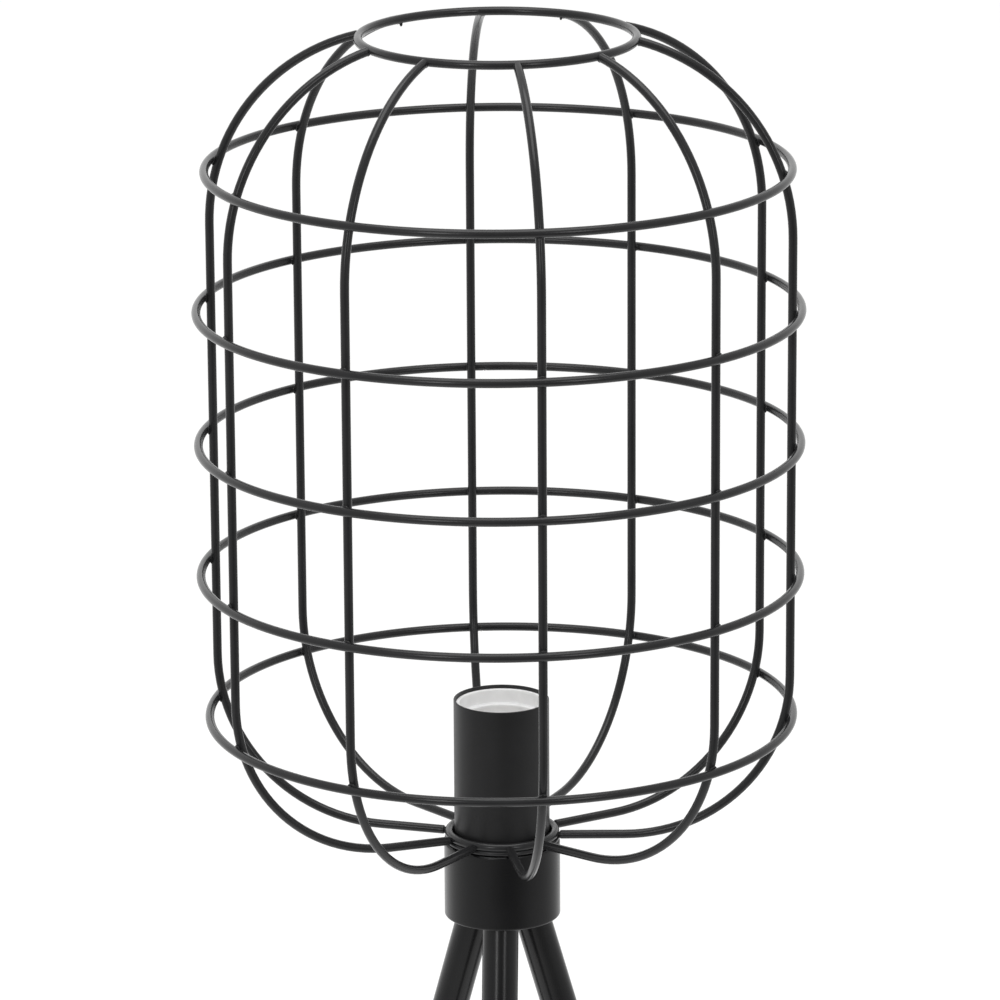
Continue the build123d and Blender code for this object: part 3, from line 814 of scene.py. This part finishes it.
unevenness = 0.12 * MM
skirt = (0.8 * MM, 2.6 * MM, 2.6 * MM)
mouth_bead = (1.2 * MM, 2.3 * MM, 2.1 * MM)
foot_bead = (1.4 * MM, 1.8 * MM, 1.7 * MM)
hoop_count = 5
for n in range(1, hoop_count + 1):
    low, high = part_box(f"cage_hoop_{n}")
    level = (low.z + high.z) / 2
    hoop = high.x - wire
    if level > upper_centre.z:
        normal = Vector((hoop - upper_centre.x, 0, level - upper_centre.z)).normalized()
    elif level < lower_centre.z:
        normal = Vector((hoop - lower_centre.x, 0, level - lower_centre.z)).normalized()
    else:
        normal = Vector((1, 0, 0))
    touch = Vector((hoop, 0, level)) - normal * (wire - weld_bite / 2)
    lean = -math.degrees(math.atan2(normal.z, normal.x))
    row = weld_row(f"hoop_welds_{n}", touch.x, touch.z, skirt, lean)
    finish_piece(row, wire_coat, "lamp", "black_powder_coat", smooth=60)

end_direction = top_angle - end_short
end_x = upper_centre.x + upper_bend * math.cos(end_direction)
mouth_weld_level = upper_centre.z + upper_bend * math.sin(end_direction) - 0.4 * MM
mouth_welds = weld_row("mouth_ring_welds", end_x, mouth_weld_level, mouth_bead)
drips = ((4, 0.7), (6, 1.0))          # the ribs whose weld has dripped, and the drips' sizes
drip_shape = Vector((0.7, 0.9, 1.3)) * MM
drip_radius = top_ring - 0.7 * MM
drip_level = top_level - wire - 0.1 * MM
for n, drip_size in drips:
    angle = math.radians(rib_angles[n])
    drip_place = (drip_radius * math.cos(angle), drip_radius * math.sin(angle), drip_level)
    drip = weld_nugget(f"weld_drip_{n}", drip_place, drip_shape * drip_size, rib_angles[n])
    join(mouth_welds, drip)
finish_piece(mouth_welds, wire_coat, "lamp", "black_powder_coat", smooth=60)

foot_weld_radius = rib_start - 0.1 * MM
foot_weld_level = foot_level - 0.2 * MM
foot_welds = weld_row("foot_ring_welds", foot_weld_radius, foot_weld_level, foot_bead)
finish_piece(foot_welds, wire_coat, "lamp", "black_powder_coat", smooth=60)


# ---------------------------------------------------------------------------------------------
# Studio: a pale floor in a white tent, a tall narrow lamp on each side of the camera and a panel
# overhead. The tent and floor are dark in front of the lamp, which black paint shows as its black.
# ---------------------------------------------------------------------------------------------
def tent_brightness(tree, direction):
    """How bright the tent looks from the lamp in a direction: white behind, darker at the sides,
    darkest a little to the right of the camera."""
    darkest = Vector((0.319, -0.948, 0))
    facing = add_node(tree, "ShaderNodeVectorMath", {"operation": "DOT_PRODUCT"},
                      {0: direction, 1: darkest})
    turned_away = add_node(tree, "ShaderNodeMapRange", None,
                           {"Value": facing.outputs["Value"], "From Min": 1.0, "From Max": -1.0})
    ramp = add_node(tree, "ShaderNodeValToRGB", None, {"Fac": turned_away.outputs["Result"]})
    ramp.color_ramp.interpolation = "B_SPLINE"
    stops = ((0.0, 0.10), (0.03, 0.16), (0.14, 0.36), (0.38, 0.42), (0.58, 0.52), (0.80, 0.70),
             (0.92, 0.95), (1.0, 1.0))
    while len(ramp.color_ramp.elements) < len(stops):
        ramp.color_ramp.elements.new(0.5)
    for element, (position, brightness) in zip(ramp.color_ramp.elements, stops):
        element.position = position
        element.color = (brightness, brightness, brightness, 1)
    return ramp.outputs["Color"]


def tent_world():
    """White for the camera, and the tent for reflections. Its diffuse light is even."""
    world = bpy.data.worlds.new("tent")
    world.use_nodes = True
    tree = world.node_tree
    tree.nodes.clear()
    direction = add_node(tree, "ShaderNodeTexCoord").outputs["Generated"]
    even = add_node(tree, "ShaderNodeBackground", None, {"Color": white, "Strength": 0.85})
    seen = add_node(tree, "ShaderNodeBackground", None, {"Color": white, "Strength": 1.0})
    mirrored = add_node(tree, "ShaderNodeBackground", None,
                        {"Color": tent_brightness(tree, direction), "Strength": tent_strength})
    rays = add_node(tree, "ShaderNodeLightPath")
    glossy = add_node(tree, "ShaderNodeMixShader", None,
                      {"Fac": rays.outputs["Is Glossy Ray"], 1: even.outputs[0], 2: mirrored.outputs[0]})
    clear = add_node(tree, "ShaderNodeMath", {"operation": "MAXIMUM"},
                     {0: rays.outputs["Is Camera Ray"], 1: rays.outputs["Is Transmission Ray"]})
    whole = add_node(tree, "ShaderNodeMixShader", None,
                     {"Fac": clear.outputs[0], 1: glossy.outputs[0], 2: seen.outputs[0]})
    add_node(tree, "ShaderNodeOutputWorld", None, {"Surface": whole.outputs[0]})
    return world


def soft_panel(name, place, aim, size, brightness):
    """A flat fabric-fronted lamp at a place, aimed at a point, unseen by the camera. Its power
    follows from its size and from how bright its face is, with 1 as white."""
    lamp = bpy.data.lights.new(name, "AREA")
    lamp.shape = "RECTANGLE"
    lamp.size, lamp.size_y = size
    lamp.energy = brightness * math.pi * size[0] * size[1]
    panel = bpy.data.objects.new(name, lamp)
    bpy.context.scene.collection.objects.link(panel)
    panel.location = place
    panel.rotation_euler = (Vector(aim) - Vector(place)).to_track_quat("-Z", "Y").to_euler()
    panel.visible_camera = False


def seamless_floor():
    """Matt white paper: for the camera it glows enough to meet the white backdrop, and it still
    takes the lamp's shadow. In reflections it carries the tent's brightness down to the feet."""
    material, tree, place = new_material("seamless_paper")
    fibre = noise(tree, place, size=40, detail=3.0)
    paper = add_node(tree, "ShaderNodeBsdfDiffuse", None,
                     {"Color": two_tone(tree, fibre, "#e9e9e8", "#ededec")})
    glow = add_node(tree, "ShaderNodeEmission", None, {"Color": white, "Strength": floor_glow})
    both = add_node(tree, "ShaderNodeAddShader", None, {0: paper.outputs[0], 1: glow.outputs[0]})
    outward = add_node(tree, "ShaderNodeVectorMath", {"operation": "NORMALIZE"}, {0: place})
    reach = add_node(tree, "ShaderNodeVectorMath", {"operation": "LENGTH"}, {0: place})
    near = add_node(tree, "ShaderNodeMapRange", {"interpolation_type": "SMOOTHSTEP"},
                    {"Value": reach.outputs["Value"], "From Min": 0.4, "From Max": 2.4,
                     "To Min": 0.75, "To Max": 0.0})
    mirrored = add_node(tree, "ShaderNodeMix", {"data_type": "RGBA"},
                        {"Factor": near.outputs["Result"],
                         "A": tent_brightness(tree, outward.outputs["Vector"]), "B": white})
    tent = add_node(tree, "ShaderNodeEmission", None,
                    {"Color": mirrored.outputs["Result"], "Strength": tent_strength})
    rays = add_node(tree, "ShaderNodeLightPath")
    seen = add_node(tree, "ShaderNodeMixShader", None,
                    {"Fac": rays.outputs["Is Camera Ray"], 1: paper.outputs[0], 2: both.outputs[0]})
    whole = add_node(tree, "ShaderNodeMixShader", None,
                     {"Fac": rays.outputs["Is Glossy Ray"], 1: seen.outputs[0], 2: tent.outputs[0]})
    add_node(tree, "ShaderNodeOutputMaterial", None, {"Surface": whole.outputs[0]})
    return material


white = linear("#ffffff")
tent_strength = 1.05
floor_glow = 0.31
bpy.context.scene.world = tent_world()
strip_aim = (0, 0, 1.2)
strip_size = (0.6, 1.3)
soft_panel("strip_left", (-1.10, -3.11, 2.2), strip_aim, strip_size, 3.3)
soft_panel("strip_right", (1.78, -2.78, 2.2), strip_aim, strip_size, 2.8)
soft_panel("panel_overhead", (0, -0.2, 3.9), (0, 0, 1.0), (2.2, 2.2), 1.8)

floor_radius = 30
clear_selection()
bpy.ops.mesh.primitive_circle_add(vertices=128, radius=floor_radius, fill_type="NGON", location=(0, 0, 0))
floor = bpy.context.object
floor.name = "paper_floor"
floor.data.materials.append(seamless_floor())
floor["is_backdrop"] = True

# The camera stands almost 3 m off and looks down at the cage, a little to the right of the front
# leg. It is rolled by a third of a degree, as the photograph is.
camera_place = (0.180, -2.887, 2.072)
camera_turn = math.radians(3.568)
camera_pitch = math.radians(15.566)
camera_roll = math.radians(0.35)
camera_data = bpy.data.cameras.new("camera")
camera_data.sensor_width = 36.0
camera_data.lens = 219.5
camera_data.clip_end = 100
camera = bpy.data.objects.new("camera", camera_data)
bpy.context.scene.collection.objects.link(camera)
camera.location = camera_place
camera.rotation_mode = "QUATERNION"
level_gaze = Euler((math.pi / 2 - camera_pitch, 0, camera_turn)).to_quaternion()
camera.rotation_quaternion = level_gaze @ Quaternion((0, 0, 1), -camera_roll)
bpy.context.scene.camera = camera
bpy.context.scene.view_settings.view_transform = "Standard"

low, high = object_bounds()
